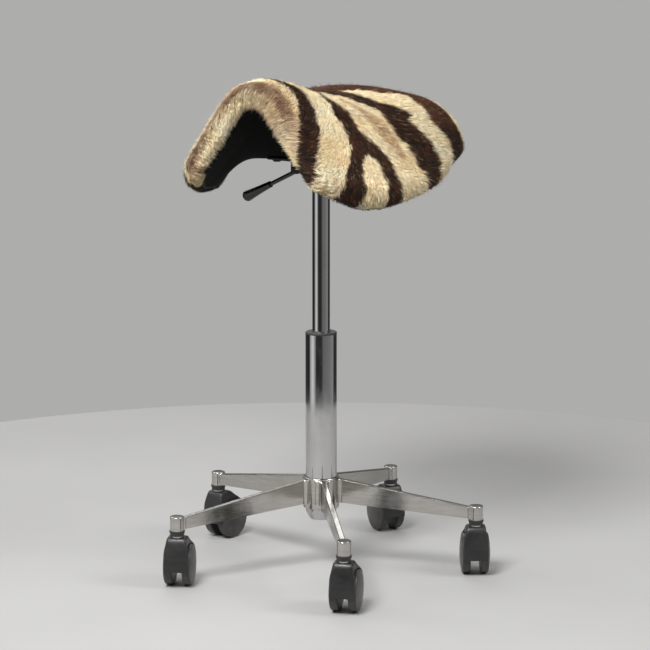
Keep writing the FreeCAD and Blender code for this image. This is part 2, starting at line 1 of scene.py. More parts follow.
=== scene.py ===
"""The looks of the saddle stool: camera, studio, materials, caster hoods and the hair-on hide.

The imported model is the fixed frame. Lengths are in metres in that frame: +Z up, the front of the
saddle towards -Y. Only the hide's pattern is drawn in millimetres.
"""
import math

import bmesh
import bpy
import numpy as np
from mathutils import Matrix, Vector
from mathutils.bvhtree import BVHTree
from mathutils.kdtree import KDTree


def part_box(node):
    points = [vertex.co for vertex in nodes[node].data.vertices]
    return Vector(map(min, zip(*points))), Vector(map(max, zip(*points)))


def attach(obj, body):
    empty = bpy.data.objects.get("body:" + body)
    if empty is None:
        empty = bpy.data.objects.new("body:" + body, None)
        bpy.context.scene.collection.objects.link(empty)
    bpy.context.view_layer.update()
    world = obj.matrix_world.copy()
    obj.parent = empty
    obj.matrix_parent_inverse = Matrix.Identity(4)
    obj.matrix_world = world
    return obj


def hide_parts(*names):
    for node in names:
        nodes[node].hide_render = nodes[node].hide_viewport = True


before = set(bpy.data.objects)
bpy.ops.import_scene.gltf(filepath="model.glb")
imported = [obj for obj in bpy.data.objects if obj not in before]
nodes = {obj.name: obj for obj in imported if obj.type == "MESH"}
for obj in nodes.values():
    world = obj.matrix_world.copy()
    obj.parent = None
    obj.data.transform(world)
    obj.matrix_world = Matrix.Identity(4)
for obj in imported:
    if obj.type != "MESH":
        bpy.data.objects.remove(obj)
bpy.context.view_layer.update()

# Millimetres in a metre
MM = 1000.0
# The seed of the hair's random numbers
SEED = 20


def put(name, data):
    """Adds an object with this data to the scene."""
    piece = bpy.data.objects.new(name, data)
    bpy.context.scene.collection.objects.link(piece)
    return piece


def smooth(mesh):
    for polygon in mesh.polygons:
        polygon.use_smooth = True


# Camera, solved from the photograph: azimuth in degrees, pitch and yaw in radians, focal length in
# pixels of a picture that is FRAME_PIXELS wide

VIEW_AZIMUTH = 40.0
VIEW_PITCH = 0.182
VIEW_YAW = 0.0017
VIEW_DISTANCE = 3.6216
VIEW_HEIGHT = 1.0648
VIEW_FOCAL = 2324.2
FRAME_PIXELS = 650.0
SENSOR_WIDTH = 36.0
CLIP_END = 200.0


def add_camera():
    turn = math.radians(VIEW_AZIMUTH)
    near = Vector((math.sin(turn), -math.cos(turn), 0))
    side = Vector((math.cos(turn), math.sin(turn), 0))
    ahead = -near * math.cos(VIEW_YAW) + side * math.sin(VIEW_YAW)
    ahead = ahead * math.cos(VIEW_PITCH) - Vector((0, 0, math.sin(VIEW_PITCH)))
    data = bpy.data.cameras.new("camera")
    data.sensor_width = SENSOR_WIDTH
    data.lens = SENSOR_WIDTH * VIEW_FOCAL / FRAME_PIXELS
    data.clip_end = CLIP_END
    camera = put("camera", data)
    camera.location = near * VIEW_DISTANCE + Vector((0, 0, VIEW_HEIGHT))
    camera.rotation_euler = ahead.to_track_quat("-Z", "Y").to_euler()
    bpy.context.scene.camera = camera


# Builders for node trees

def tone(red, green=None, blue=None):
    """An opaque colour, or a grey where only one level is given."""
    return (red, red, red, 1.0) if green is None else (red, green, blue, 1.0)


class Graph:
    """Adds nodes to a tree. An input takes a value, or the output that feeds it."""

    def __init__(self, tree):
        self.tree = tree

    def feed(self, socket, value):
        if isinstance(value, bpy.types.NodeSocket):
            self.tree.links.new(value, socket)
        else:
            socket.default_value = value

    def add(self, kind, inputs=None, **settings):
        node = self.tree.nodes.new(kind)
        for key, value in settings.items():
            setattr(node, key, value)
        for key, value in (inputs or {}).items():
            self.feed(node.inputs[key], value)
        return node

    def math(self, operation, first, second):
        return self.add("ShaderNodeMath", {0: first, 1: second}, operation=operation).outputs[0]

    def spread(self, value, low, high, to_low=0.0, to_high=1.0):
        """The value's range from low to high, stretched to another and cut off outside it."""
        inputs = {"Value": value, "From Min": low, "From Max": high, "To Min": to_low, "To Max": to_high}
        return self.add("ShaderNodeMapRange", inputs).outputs["Result"]

    def mix(self, factor, first, second, blend="MIX"):
        return self.add("ShaderNodeMix", {0: factor, 6: first, 7: second},
                        data_type="RGBA", blend_type=blend).outputs[2]


class Maker(Graph):
    """Builds one node material."""

    def __init__(self, name):
        self.material = bpy.data.materials.new(name)
        self.material.use_nodes = True
        super().__init__(self.material.node_tree)

    def place(self, scale=(1, 1, 1)):
        """Object coordinates, stretched."""
        where = self.add("ShaderNodeTexCoord").outputs["Object"]
        return self.add("ShaderNodeMapping", {"Vector": where, "Scale": scale}).outputs[0]

    def noise(self, scale, detail=4.0, roughness=0.55, place=None, distortion=0.0):
        inputs = {"Vector": place or self.place(), "Scale": scale, "Detail": detail, "Roughness": roughness,
                  "Distortion": distortion}
        return self.add("ShaderNodeTexNoise", inputs).outputs["Fac"]

    def cells(self, scale):
        return self.add("ShaderNodeTexVoronoi", {"Vector": self.place(), "Scale": scale}).outputs["Distance"]

    def between(self, value, low, high, dark, light):
        """The dark colour where the value is low and the light one where it is high."""
        return self.mix(self.spread(value, low, high), dark, light)

    def stained(self, colour, stain, share, other):
        """The colour with another over it, where there is a stain."""
        return self.mix(self.math("MULTIPLY", stain, share), colour, other)

    def bump(self, height, strength, distance, normal=None):
        inputs = {"Height": height, "Strength": strength, "Distance": distance}
        if normal is not None:
            inputs["Normal"] = normal
        return self.add("ShaderNodeBump", inputs).outputs[0]

    def finished(self, **values):
        """Sets the shader's inputs and gives the material."""
        shader = self.tree.nodes["Principled BSDF"]
        for key, value in values.items():
            self.feed(shader.inputs[key.replace("_", " ")], value)
        return self.material


# Materials

COLOUR_LAYER = "hair_colour"


def polished_aluminium():
    make = Maker("polished_aluminium")
    cloudy = make.noise(34.0, 5.0)
    brushed = make.noise(26.0, 6.0, 0.65, make.place((1.0, 1.0, 14.0)))
    scratches = make.noise(900.0, 2.0, 0.5, make.place((0.06, 0.06, 1.0)))
    stain = make.spread(make.noise(9.0, 3.0), 0.42, 0.72)
    colour = make.between(brushed, 0.35, 0.7, tone(0.43, 0.415, 0.39), tone(0.56, 0.545, 0.51))
    colour = make.stained(colour, stain, 0.35, tone(0.30, 0.29, 0.265))
    rough = make.math("ADD", make.spread(cloudy, 0.3, 0.7, 0.10, 0.22),
                      make.spread(scratches, 0.4, 0.7, 0.0, 0.06))
    ripple = make.bump(make.noise(70.0, 2.0), 0.10, 0.0012)
    return make.finished(Base_Color=colour, Metallic=1.0, Roughness=rough,
                         Normal=make.bump(brushed, 0.07, 0.0006, ripple))


def chrome(name, dull):
    make = Maker(name)
    drawn = make.noise(800.0, 2.0, 0.5, make.place((1.0, 1.0, 0.02)))
    smudge = make.spread(make.noise(24.0, 5.0, 0.6), 0.45, 0.75)
    wipe = make.noise(120.0, 3.0, 0.6, make.place((1.0, 1.0, 0.25)))
    colour = make.stained(tone(0.55, 0.55, 0.555), smudge, 0.5, tone(0.43, 0.43, 0.42))
    rough = make.math("ADD", make.math("MULTIPLY", smudge, 0.06),
                      make.spread(wipe, 0.3, 0.7, dull, dull + 0.05))
    return make.finished(Base_Color=colour, Metallic=1.0, Roughness=rough,
                         Normal=make.bump(drawn, 0.03, 0.0002))


def moulded_plastic(name, dark, light, rough, grain, dust=0.0, specular=0.5):
    """Black moulded plastic: fine spark-eroded grain, slight flow marks and settled dust."""
    make = Maker(name)
    flow = make.noise(30.0, 4.0, 0.6)
    normal = make.add("ShaderNodeNewGeometry").outputs["Normal"]
    up = make.add("ShaderNodeSeparateXYZ", {0: normal}).outputs["Z"]
    settled = make.math("MULTIPLY", make.spread(up, 0.1, 1.0, 0.15, 1.0),
                        make.spread(make.noise(160.0, 5.0, 0.7), 0.4, 0.75))
    colour = make.between(flow, 0.35, 0.7, dark, light)
    colour = make.stained(colour, settled, dust, tone(0.22, 0.20, 0.17))
    rough_map = make.math("ADD", make.spread(flow, 0.3, 0.7, rough - 0.05, rough + 0.07),
                          make.math("MULTIPLY", settled, 0.25))
    return make.finished(Base_Color=colour, Roughness=rough_map, Specular_IOR_Level=specular,
                         Normal=make.bump(make.cells(1500.0), grain, 0.0004))


def worn_wheel():
    """Hard black wheel: scuffs and grey floor dust."""
    make = Maker("worn_wheel")
    scuff = make.spread(make.noise(210.0, 6.0, 0.75), 0.52, 0.78)
    dust = make.spread(make.noise(55.0, 5.0, 0.65), 0.45, 0.8)
    flow = make.noise(40.0, 4.0)
    colour = make.between(flow, 0.3, 0.7, tone(0.018, 0.018, 0.019), tone(0.040, 0.039, 0.038))
    colour = make.stained(colour, scuff, 0.4, tone(0.11, 0.105, 0.095))
    colour = make.stained(colour, dust, 0.28, tone(0.17, 0.155, 0.13))
    return make.finished(Base_Color=colour, Roughness=make.spread(scuff, 0.0, 1.0, 0.36, 0.68),
                         Normal=make.bump(make.noise(700.0, 3.0), 0.12, 0.0005))


def painted_steel(name, dark, light, rough):
    """Steel under a paint with orange peel and small chips."""
    make = Maker(name)
    cloudy = make.noise(45.0, 4.0)
    chips = make.spread(make.noise(330.0, 6.0, 0.8), 0.70, 0.78)
    colour = make.between(cloudy, 0.3, 0.7, dark, light)
    colour = make.stained(colour, chips, 0.5, tone(0.32, 0.31, 0.29))
    return make.finished(Base_Color=colour,
                         Roughness=make.spread(cloudy, 0.3, 0.7, rough - 0.06, rough + 0.08),
                         Normal=make.bump(make.noise(420.0, 2.0, 0.5), 0.16, 0.0004))


def plated_steel(name, dark, light, rough):
    """Zinc plated or ground steel with fine lines and cloudy patches."""
    make = Maker(name)
    lines = make.noise(1100.0, 2.0, 0.5, make.place((1.0, 1.0, 0.08)))
    cloudy = make.noise(150.0, 5.0, 0.6)
    return make.finished(Base_Color=make.between(cloudy, 0.35, 0.7, dark, light), Metallic=1.0,
                         Roughness=make.spread(cloudy, 0.3, 0.7, rough, rough + 0.14),
                         Normal=make.bump(lines, 0.08, 0.0003))


def rubber():
    make = Maker("black_rubber")
    flow = make.noise(120.0, 4.0)
    return make.finished(Base_Color=make.between(flow, 0.3, 0.7, tone(0.016), tone(0.045, 0.043, 0.04)),
                         Roughness=make.spread(flow, 0.3, 0.7, 0.7, 0.9),
                         Normal=make.bump(make.noise(900.0), 0.2, 0.0004))


def foam():
    make = Maker("cream_foam")
    colour = make.between(make.noise(20.0), 0.3, 0.7, tone(0.62, 0.52, 0.30), tone(0.74, 0.66, 0.44))
    return make.finished(Base_Color=colour, Roughness=0.95, Normal=make.bump(make.cells(700.0), 0.6, 0.001))


def plywood():
    make = Maker("moulded_plywood")
    grain = make.noise(60.0, 6.0, 0.6, make.place((8.0, 0.6, 8.0)), 1.2)
    colour = make.between(grain, 0.35, 0.7, tone(0.46, 0.31, 0.17), tone(0.66, 0.48, 0.29))
    return make.finished(Base_Color=colour, Roughness=make.spread(grain, 0.3, 0.7, 0.45, 0.65),
                         Normal=make.bump(grain, 0.2, 0.0005))


def hair_material(name, dim, rough):
    """Hair in the colours that its mesh carries."""
    make = Maker(name)
    base = make.add("ShaderNodeAttribute", attribute_name=COLOUR_LAYER, attribute_type="GEOMETRY")
    strand = make.noise(900.0, 2.0, 0.6)
    cloudy = make.noise(45.0, 4.0)
    shade = make.between(strand, 0.3, 0.7, tone(dim), tone(1.0))
    return make.finished(Base_Color=make.mix(1.0, base.outputs["Color"], shade, "MULTIPLY"),
                         Roughness=make.spread(cloudy, 0.3, 0.7, rough - 0.08, rough + 0.1),
                         Normal=make.bump(strand, 0.15, 0.0003), Specular_IOR_Level=0.17,
                         Sheen_Weight=0.03, Sheen_Roughness=0.4)


def assign(material, *endings):
    """Gives the CAD nodes whose names end so their material."""
    for name, node in nodes.items():
        if name.endswith(endings):
            node.data.materials.clear()
            node.data.materials.append(material)


def dress_cad_nodes():
    assign(polished_aluminium(), "base_star")
    assign(chrome("column_chrome", dull=0.06), "column_tube")
    assign(chrome("lift_chrome", dull=0.04), "lift_tube")
    assign(plated_steel("ground_steel", tone(0.52, 0.52, 0.53), tone(0.66), rough=0.2),
           "bearing_lower_race", "bearing_balls", "bearing_upper_race", "retaining_clip", "piston_rod",
           "piston", "release_button")
    assign(plated_steel("zinc_plate", tone(0.46, 0.46, 0.45), tone(0.62, 0.61, 0.57), rough=0.28),
           "tee_nuts", "_stem", "_axle")
    assign(painted_steel("black_paint", tone(0.012, 0.012, 0.013), tone(0.026, 0.026, 0.027), rough=0.38),
           "seat_plate", "lever_bracket", "lever_pivot_pin", "seat_bolts")
    assign(painted_steel("grey_paint", tone(0.16), tone(0.25, 0.25, 0.245), rough=0.4), "cone_socket")
    assign(painted_steel("lever_paint", tone(0.009), tone(0.018), rough=0.26), "lever_bar")
    assign(moulded_plastic("bush_plastic", tone(0.018, 0.018, 0.019), tone(0.032), rough=0.45, grain=0.08),
           "guide_bush")
    assign(moulded_plastic("cover_plastic", tone(0.003), tone(0.006), rough=0.7, grain=0.35, specular=0.06),
           "underside_cover")
    assign(moulded_plastic("knob_plastic", tone(0.004), tone(0.008), rough=0.10, grain=0.02), "lever_knob")
    assign(moulded_plastic("sleeve_plastic", tone(0.014), tone(0.026), rough=0.42, grain=0.1, dust=0.12),
           "_sleeve")
    hood = moulded_plastic("hood_plastic", tone(0.009), tone(0.018), rough=0.34, grain=0.16, dust=0.07)
    assign(hood, "_hood")
    make_hoods(hood)
    assign(worn_wheel(), "_wheel_left", "_wheel_right")
    assign(rubber(), "rubber_buffer", "seal_pack")
    assign(plywood(), "seat_shell")


# Caster hoods: places in a hood's middle plane are (away from the swivel axis, height)

CASTERS = 5
AXLE = (0.019, 0.0325)
# The radius of a hood's inside round the axle
HOOD_INSIDE = 0.0337
# A hood's outside from its front lip over the stem to its back lip
HOOD_OUTSIDE = ((-0.0167, 0.0281), (-0.0172, 0.0340), (-0.0170, 0.0460), (-0.0160, 0.0570),
                (-0.0143, 0.0670), (-0.0123, 0.0750), (-0.0103, 0.0798), (-0.0080, 0.0816),
                (-0.0050, 0.0820), (0.0050, 0.0820), (0.0110, 0.0820), (0.0150, 0.0806), (0.0250, 0.0730),
                (0.0359, 0.0643), (0.0438, 0.0587), (0.0502, 0.0505), (0.0542, 0.0400))
# Its turns round the axle from the front lip to the back one, in degrees
HOOD_TURNS = np.arange(187.0, 11.5, -1.0)
HOOD_SMOOTHINGS = 8
# Half its width, low down and at its top, and the heights between which it narrows
HOOD_HALF = 0.020
HOOD_HALF_TOP = 0.0158
HOOD_NARROWS = (0.056, 0.084)
# The largest radius of its edge, and the least wall under that
HOOD_CORNER = 0.0045
HOOD_WALL = 0.0004
# The round of its edge for a radius of 1: (in from the side, down from the outside)
CORNER_ARC = ((0.0, 1.0), (0.08, 0.62), (0.29, 0.29), (0.62, 0.08), (1.0, 0.0))
# The web between the wheels: half its thickness, and the lowest places of its outline
WEB_HALF = 0.007
WEB_FOOT = ((0.027, 0.0265), (0.011, 0.0265))
# Its top has a place at one in so many turns of the hood, and reaches this far into it
WEB_STEP = 5
WEB_SUNK = 0.0008
# An edge that turns more than this is drawn sharp
SHARP_DEGREES = 40.0


def around_axle(radius, turn):
    return AXLE[0] + radius * math.cos(turn), AXLE[1] + radius * math.sin(turn)


def hood_mesh(mesh):
    """A hood like a barrel round both wheels, with a web between them, along +X."""
    turns = [math.atan2(z - AXLE[1], x - AXLE[0]) % (2.0 * math.pi) for x, z in HOOD_OUTSIDE]
    reaches = [math.hypot(x - AXLE[0], z - AXLE[1]) for x, z in HOOD_OUTSIDE]
    stations = np.radians(HOOD_TURNS)
    reach = np.interp(-stations, [-turn for turn in turns], reaches)
    for _ in range(HOOD_SMOOTHINGS):
        reach[1:-1] = 0.25 * reach[:-2] + 0.5 * reach[1:-1] + 0.25 * reach[2:]
    rings = []
    for turn, outside in zip(stations, reach):
        height = around_axle(outside, turn)[1]
        half = HOOD_HALF + (HOOD_HALF_TOP - HOOD_HALF) * float(ramp(height, *HOOD_NARROWS))
        corner = min(HOOD_CORNER, outside - HOOD_INSIDE - HOOD_WALL)
        section = [(half, HOOD_INSIDE)]
        section += [(half - aside * corner, outside - down * corner) for aside, down in CORNER_ARC]
        section += [(-side, radius) for side, radius in reversed(section)]
        ring = []
        for side, radius in section:
            x, z = around_axle(radius, turn)
            ring.append(mesh.verts.new((x, side, z)))
        rings.append(ring)
    join_rings(mesh, rings)
    web = [around_axle(HOOD_INSIDE + WEB_SUNK, turn) for turn in stations[::WEB_STEP]]
    web += WEB_FOOT
    join_rings(mesh, [[mesh.verts.new((x, side, z)) for x, z in web] for side in (-WEB_HALF, WEB_HALF)])


def join_rings(mesh, rings):
    """Skins a row of rings of equal length and closes both ends."""
    for first, second in zip(rings, rings[1:]):
        for index in range(len(first)):
            after = (index + 1) % len(first)
            mesh.faces.new((first[index], first[after], second[after], second[index]))
    mesh.faces.new(rings[0][::-1])
    mesh.faces.new(rings[-1])


def middle_of(name):
    low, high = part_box(name)
    return (low + high) / 2


def make_hoods(material):
    for number in range(1, CASTERS + 1):
        caster = "caster_%d" % number
        swivel = middle_of(caster + "_stem")
        wheels = (middle_of(caster + "_wheel_left") + middle_of(caster + "_wheel_right")) / 2
        mesh = bmesh.new()
        hood_mesh(mesh)
        mesh.transform(Matrix.Rotation(math.atan2(wheels.y - swivel.y, wheels.x - swivel.x), 4, "Z"))
        mesh.transform(Matrix.Translation((swivel.x, swivel.y, 0.0)))
        bmesh.ops.recalc_face_normals(mesh, faces=mesh.faces)
        data = bpy.data.meshes.new(caster + "_barrel")
        mesh.to_mesh(data)
        mesh.free()
        piece = put(caster + "_barrel", data)
        data.set_sharp_from_angle(angle=math.radians(SHARP_DEGREES))
        smooth(data)
        data.materials.append(material)
        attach(piece, caster)
        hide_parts(caster + "_hood")


# The hide: its pattern in a chart of the seat, in millimetres. "Along" is y, and "round" is the way
# from the crest down the flank, |x| plus the fall from the crest. A stripe that crosses the crest
# starts at a negative round. The near flank is the one at +X, which the photograph shows.

# The crest, as (along, height)
CREST = ((-165, 789.0), (-150, 790.2), (-138, 791.4), (-125, 791.6), (-110, 789.8), (-95, 786.6),
         (-70, 779.8), (-48, 774.8), (-20, 770.8), (10, 769.0), (50, 770.2), (100, 768.0), (145, 760.0),
         (168, 754.8), (182, 751.2))
# The far flank carries the near one's other stripes, turned over here. Beyond this they are drawn
# up again, as (by how much, over what way), and sway along the seat, as (reach, wave)
SPINE = -45.0
FAR_DRAWN = (60.0, 110.0)
FAR_SWAY = (7.0, 37.0)
# Each stripe: its front edge and its rear edge, as (round, along). The far flank has its own collar
COLLAR = (((0, -128), (27, -122), (50, -119), (73, -119), (105, -132), (138, -151), (164, -161), (187, -173),
           (200, -186), (231, -200), (300, -200)),
          ((0, -104), (20, -98), (44, -93), (70, -93), (103, -97), (136, -108), (163, -113), (194, -133),
           (225, -156), (246, -166), (270, -178), (300, -184)))
FAR_COLLAR = (((0, -128), (30, -123), (60, -126), (100, -140), (140, -150), (200, -153), (235, -150),
               (262, -136), (285, -124)),
              ((0, -104), (44, -93), (70, -90), (103, -97), (136, -108), (163, -116), (220, -121),
               (285, -124)))
FORK = (((-60, -50), (0, -60), (28, -57), (41, -54), (53, -54), (84, -56), (118, -62), (141, -63),
         (176, -70), (215, -81), (253, -103), (283, -124), (305, -137), (340, -150)),
        ((-60, -40), (0, -48), (28, -44), (41, -43), (60, -46), (86, -41), (110, -36), (136, -38),
         (177, -45), (202, -42), (230, -37), (252, -38), (281, -39), (309, -43), (351, -48)))
DROP = (((240, -65), (250, -74), (266, -83), (299, -100), (330, -110), (350, -116)),
        ((240, -65), (246, -58), (254, -56), (282, -59), (309, -65), (350, -77)))
SHADE = (((50, -26), (74, -25), (106, -19), (138, -20), (172, -21), (202, -24), (226, -25), (256, -22)),
         ((50, -24), (75, -18), (110, -10), (140, -4), (177, -3), (208, -7), (232, -9), (256, -14)))
FLANK = (((-60, -38), (0, -50), (25, -48), (43, -37), (57, -13), (84, -4), (110, 5), (134, 11), (168, 5),
          (194, 1), (223, -4), (250, -1), (276, -5), (302, -9), (348, -7)),
         ((-60, 34), (-20, 20), (10, 0), (25, 2), (30, 13), (54, 21), (80, 24), (111, 28), (132, 41),
          (156, 48), (175, 49), (186, 36), (210, 36), (242, 37), (271, 37), (297, 34), (328, 21), (348, 16)))
RUMP = (((-60, -94), (-30, -88), (-12, -72), (0, -64), (14, -60), (24, -50), (27, 5), (31, 21), (44, 44),
         (60, 56), (80, 58), (87, 74), (98, 97), (112, 98), (132, 89), (164, 87), (202, 73), (226, 76),
         (247, 83), (273, 80), (301, 70), (340, 60)),
        ((-60, 160), (-20, 168), (10, 176), (40, 180), (80, 176), (120, 171), (160, 163), (200, 154),
         (230, 145), (270, 127), (300, 109), (340, 91)))
# How soft a stripe's edges and its start are, and how far beyond its end it fades
STRIPE_SOFT = 2.5
SHADE_SOFT = 4.0
STRIPE_START = 3.0
STRIPE_FADE = (20.0, 26.0)
# How rusty the rump's stripe is, and the rounds between which that fades
RUMP_RUST = 0.6
RUMP_FADE = (190.0, 250.0)
# The brown band across the front rim: (turn round the arch in degrees, along, half width, strength)
FACE_BAND = ((-135, -176, 9.0, 0.6), (-118, -176, 9.0, 0.9), (-104, -176, 7.5, 1.0), (-88, -173, 6.0, 1.0),
             (-68, -169, 6.0, 1.0), (-44, -169, 7.5, 1.0), (-22, -170, 9.5, 1.0), (0, -166, 12.5, 1.0),
             (20, -160, 12.0, 1.0), (38, -156, 13.0, 0.95), (50, -159, 13.0, 0.9), (62, -165, 11.0, 0.8),
             (74, -170, 8.0, 0.5), (90, -174, 6.0, 0.1), (110, -176, 6.0, 0.0))
BAND_SOFT = 3.5
# The rim's warm part: how warm, and the turns between which it comes and goes
WARM = 0.35
WARM_COMES = (-20.0, 25.0)
WARM_GOES = (70.0, 110.0)
# How the hair lies: (round, along, degrees from straight down the flank, + towards the back)
LIE = ((30, -150, -75), (60, -120, -60), (150, -150, -90), (230, -150, -90), (100, -120, -80),
       (200, -120, -85), (150, -100, -60), (260, -100, -45), (120, -80, -30), (250, -75, -18),
       (320, -90, -28), (150, -50, -5), (300, -60, 0), (340, -40, 8), (150, -20, 10), (250, 0, 22),
       (330, 10, 60), (350, 30, 80), (200, 20, 30), (200, 50, 45), (280, 60, 70), (340, 60, 85),
       (150, 90, 40), (250, 100, 62), (300, 100, 80), (200, 130, 62), (150, 150, 70), (280, 150, 90),
       (20, 0, 10), (30, -60, -25), (30, 60, 40), (40, 120, 60), (100, 170, 88))
# Near places count for more: the share of the round in a distance, what is added to its square,
# and the power that the sum is raised to
LIE_ROUND = 0.8
LIE_ADDED = 60.0
LIE_POWER = 1.6
# Middle and spread of each hair's own turn in radians, on the flanks and on the front face
LIE_SPREAD = (0.0, 0.12)
SWAY_SPREAD = (0.0, 0.16)
# How far from the middle the hair of the crest becomes the hair of the flank
CREST_HALF = 32.0
# At the crest it points forward or back: how sharply that changes, and round which sine of the turn
CREST_TURNS = (6.0, -0.3)
# What keeps the way down from having no length at the crest
LEAST_DOWN = 0.001

CREAM = np.array((0.92, 0.71, 0.43))
PALE = np.array((0.97, 0.82, 0.58))
TAN = np.array((0.50, 0.33, 0.18))
DARK = np.array((0.026, 0.013, 0.007))
RUST = np.array((0.100, 0.035, 0.015))
MAUVE = np.array((0.27, 0.15, 0.095))
# The black of painted shade, where the hide faces down under the seat or lies next to the underside cover
PAINTED_SHADE_BLACK = np.array((0.012, 0.009, 0.008))

# Smooth noise over the hide: (size of its waves, seed, middle, reach)
EDGE_WANDER = (26.0, 5, 0.0, 1.4)
EDGE_FRAY = (9.0, 6, 0.0, 0.9)
BAND_NOISE = (30.0, 11, 0.86, 0.2)
PALE_NOISE = (60.0, 12, 0.45, 0.4)
TAN_NOISE = (30.0, 13, 0.02, 0.12)
SHADE_NOISE = (12.0, 14, 0.8, 0.2)
RUST_NOISE = (22.0, 15, 0.2, 0.28)
LIE_WANDER = (34.0, 21, 0.0, 0.14)
LIE_FRAY = (11.0, 22, 0.0, 0.06)
SWAY_NOISE = (20.0, 23, 0.0, 0.25)
# How many waves are added up, and what the sum is divided by
NOISE_WAVES = 7
NOISE_LEVEL = 3.2
# The least frequency of a wave, for a size of 1, and how much higher it can be
NOISE_RATES = (0.7, 0.8)

# The front rim: the alongs before which its band and its face lie
BAND_START = -138.0
FACE_START = -140.0
# How far the normals of the face point to the front, at its start and where it is full, and how far
# from the outline the pattern stays as it is there
FACE_NORMAL = (0.15, 0.75)
FACE_DEPTH = 4.0
# The height round which the turns of the band are taken
TURN_HEIGHT = 700.0
# The outline is made of the faces near this along whose normals don't point to the front, and do
# point away from the middle at this height
OUTLINE_ALONG = -150.0
OUTLINE_HALF = 2.0
OUTLINE_HEIGHT = 690.0
OUTLINE_FRONT = -0.9
OUTLINE_OUT = 0.3
# The heights of the middles to which the hair of the rim points, on the near and the far side
INTO_ARCH = (690.0, 640.0)
# Where the hide is turned in, its normals point the underside's way, and it is painted black as shade:
# how far, where it starts and where it is full
UNDERSIDE_SHADE_FACING = (0.55, 0.85)
# That way is down, and leans in to the middle by degrees that change along the seat. They count in
# full from this far beside the middle on
LEAN_ALONG = (-110.0, -40.0)
LEAN_DEGREES = (50.0, 2.0)
LEAN_MIDDLE = 20.0
# The front is spared this painted shade, from the first along on and in full from the second, by this share
SHADE_SPARED_ALONG = (-126.0, -138.0)
SHADE_SPARED_SHARE = 0.9
# How many places are measured at a time
CHUNK = 4000


# Places on the hide are in millimetres in the functions from here to hair_ways


def ramp(value, low, high):
    """A smooth step from 0 at low to 1 at high."""
    share = np.clip((value - low) / (high - low), 0.0, 1.0)
    return share * share * (3.0 - 2.0 * share)


def drift(points, size, seed, middle, reach):
    """Smooth noise at points: waves of about one size in several directions."""
    draw = np.random.default_rng(seed)
    total = np.zeros(len(points))
    for _ in range(NOISE_WAVES):
        way = draw.normal(size=3)
        way *= ((NOISE_RATES[0] + NOISE_RATES[1] * draw.random()) * 2.0 * math.pi / size
                / np.linalg.norm(way))
        total += np.sin(points @ way + draw.random() * 2.0 * math.pi)
    return middle + reach * (total / NOISE_LEVEL)


def edge(table, value):
    """The line through a table's places, at a value."""
    return np.interp(value, [row[0] for row in table], [row[1] for row in table])


def inside(stripe, way_round, along, soft=STRIPE_SOFT):
    """How far a place lies in a stripe."""
    front, rear = stripe
    start, end = front[0][0], front[-1][0]
    reach = ramp(way_round, start - STRIPE_START, start + STRIPE_START)
    reach = reach * (1.0 - ramp(way_round, end + STRIPE_FADE[0], end + STRIPE_FADE[1]))
    return (reach * ramp(along - edge(front, way_round), -soft, soft)
            * ramp(edge(rear, way_round) - along, -soft, soft))


def chart(points):
    """The ways round and along at points."""
    along = points[:, 1]
    fall = edge(CREST, along) - points[:, 2]
    return np.abs(points[:, 0]) + np.maximum(fall, 0.0), along


def blend(low, high, share):
    """Colours between two, one for each share."""
    return low + (high - low) * np.asarray(share)[:, None]


def unit(ways):
    return ways / np.maximum(np.linalg.norm(ways, axis=1, keepdims=True), 1e-12)


def flattened(ways, normals):
    """Ways laid flat on the hide."""
    return unit(ways - normals * np.sum(ways * normals, axis=1, keepdims=True))


def swung(ways, aside, angle):
    """Ways swung aside by an angle."""
    return ways * np.cos(angle)[:, None] + aside * np.sin(angle)[:, None]


def front_face(points, normals):
    """How far a place belongs to the rim that faces the front."""
    return ramp(-normals[:, 1], *FACE_NORMAL) * (points[:, 1] < FACE_START)


def underside_shade(points, normals):
    """How far a place faces the way the underside faces, where the hide is folded in and painted black as
    shade.
    """
    lean = np.radians(np.interp(points[:, 1], LEAN_ALONG, LEAN_DEGREES))
    side = np.clip(points[:, 0] / LEAN_MIDDLE, -1.0, 1.0)
    facing = -normals[:, 2] * np.cos(lean) - side * normals[:, 0] * np.sin(lean)
    return ramp(facing, *UNDERSIDE_SHADE_FACING) * (1.0 - SHADE_SPARED_SHARE * ramp(points[:, 1], *SHADE_SPARED_ALONG))


def front_outline(centres, normals):
    """The hide's outline near its front, seen from there."""
    rim = (np.abs(centres[:, 1] - OUTLINE_ALONG) < OUTLINE_HALF) & (normals[:, 1] > OUTLINE_FRONT)
    rim &= normals[:, 0] * centres[:, 0] + normals[:, 2] * (centres[:, 2] - OUTLINE_HEIGHT) > OUTLINE_OUT
    return centres[rim][:, (0, 2)]


def depth_within(outline, points):
    """How far a place on the front face is from the outline."""
    spots = points[:, (0, 2)]
    depth = np.empty(len(points))
    for start in range(0, len(spots), CHUNK):
        gaps = np.linalg.norm(spots[start:start + CHUNK, None, :] - outline[None, :, :], axis=2)
        depth[start:start + CHUNK] = gaps.min(axis=1)
    return depth


def stripes(points, way_round, along, wander):
    """How far places are dark, shaded and rusty from the stripes."""
    near = points[:, 0] >= 0.0
    signed = np.where(near, way_round, -way_round)
    # the other flank carries the same stripes, turned over at the spine and shifted a little
    other = signed < SPINE
    beyond = SPINE - signed
    main_round = np.where(other, 2.0 * SPINE - signed, signed)
    main_round = main_round + np.where(other, FAR_DRAWN[0] * ramp(beyond, 0.0, FAR_DRAWN[1]), 0.0)
    main_along = along + np.where(other, FAR_SWAY[0] * np.sin(beyond / FAR_SWAY[1]), 0.0)
    collar = np.where(near, inside(COLLAR, way_round + wander, along),
                      inside(FAR_COLLAR, way_round + wander, along))
    fork = inside(FORK, main_round, main_along) * (1.0 - inside(DROP, main_round, main_along))
    rump = inside(RUMP, main_round, main_along)
    dark = np.maximum.reduce([collar, fork, inside(FLANK, main_round, main_along), rump])
    shade = inside(SHADE, main_round, main_along, SHADE_SOFT)
    return dark, shade, RUMP_RUST * rump * (1.0 - ramp(main_round, *RUMP_FADE))


